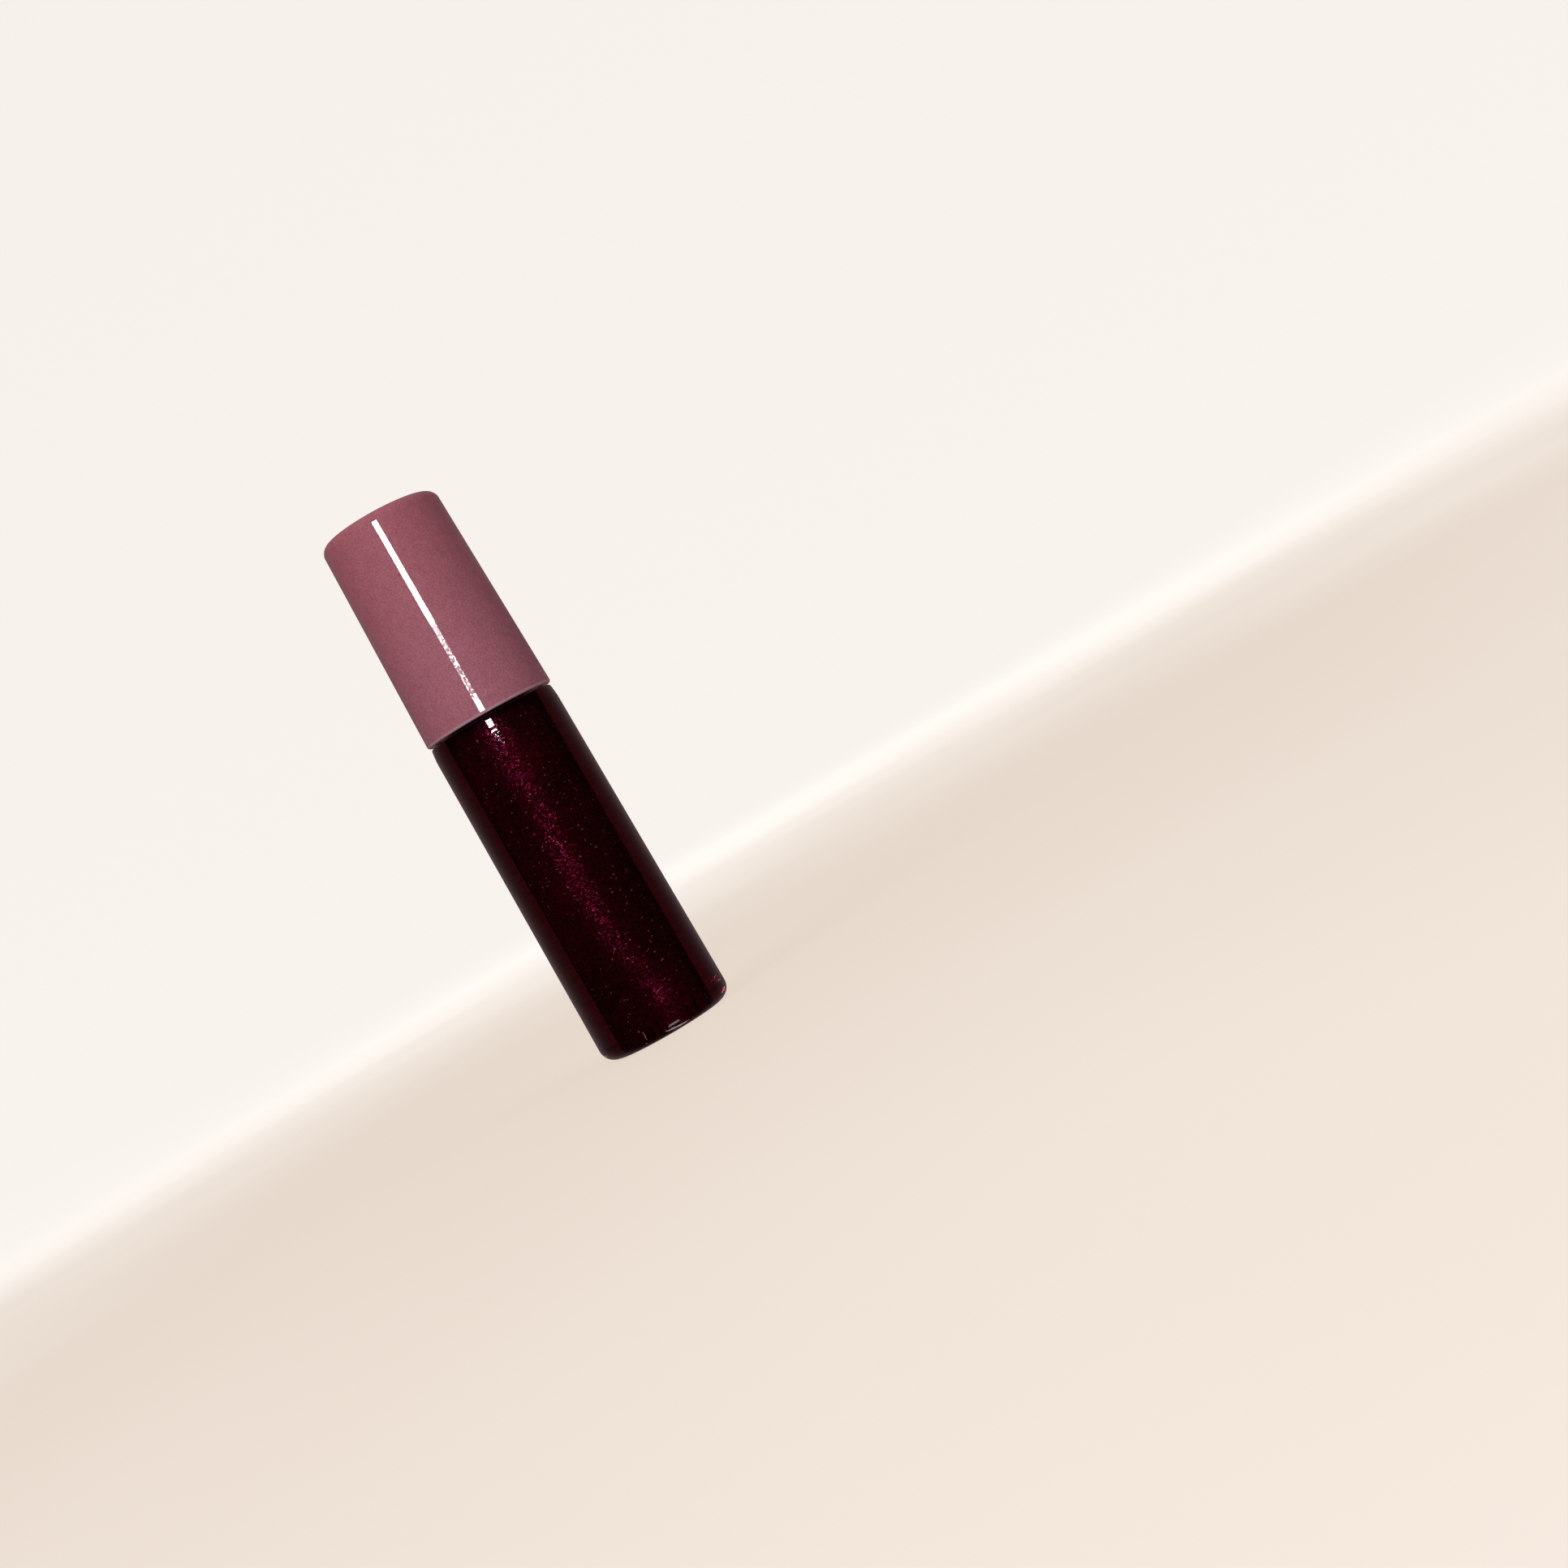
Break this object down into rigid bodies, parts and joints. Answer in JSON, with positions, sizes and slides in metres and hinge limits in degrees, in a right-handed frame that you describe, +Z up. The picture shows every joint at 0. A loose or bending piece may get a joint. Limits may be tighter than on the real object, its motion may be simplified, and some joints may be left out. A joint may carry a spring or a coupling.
{
  "type": "lip gloss tube",
  "caption": "Clear heavy-walled round lip gloss tube with a dark pearly gloss inside and a tapered mauve screw cap that carries the applicator wand.",
  "frame": {"origin": "centre of the foot, on the surface that the tube stands on", "axes": "+Z up along the tube's axis, from the foot to the cap; +X towards the slanted face of the applicator"},
  "size_m": [0.0198, 0.0198, 0.081],
  "materials": {
    "clear_plastic": "clear, smoky, glossy",
    "gloss": "dark burgundy with purple pearl",
    "soft_plastic": "translucent natural",
    "washer_foam": "matte foam",
    "mauve_plastic": "satin mauve",
    "liner_plastic": "moulded",
    "stem_plastic": "moulded, wet with gloss",
    "flock": "short fibre, soaked"
  },
  "bodies": {
    "tube": {"tube_body": "clear_plastic", "gloss_fill": "gloss", "wiper": "soft_plastic"},
    "washer": {"seal_washer": "washer_foam"},
    "cap": {"cap_shell": "mauve_plastic", "inner_cap": "liner_plastic", "wand_stem": "stem_plastic", "applicator_core": "soft_plastic", "applicator_flock": "flock"}
  },
  "joints": [
    {"name": "cap_lift", "type": "slide", "parent": "tube", "child": "washer", "axis": [0, 0, 1], "range_m": [0, 0.062]},
    {"name": "cap_turn", "type": "hinge", "parent": "washer", "child": "cap", "pos_m": [0, 0, 0.055], "axis": [0, 0, 1], "range_deg": [0, 450]}
  ]
}
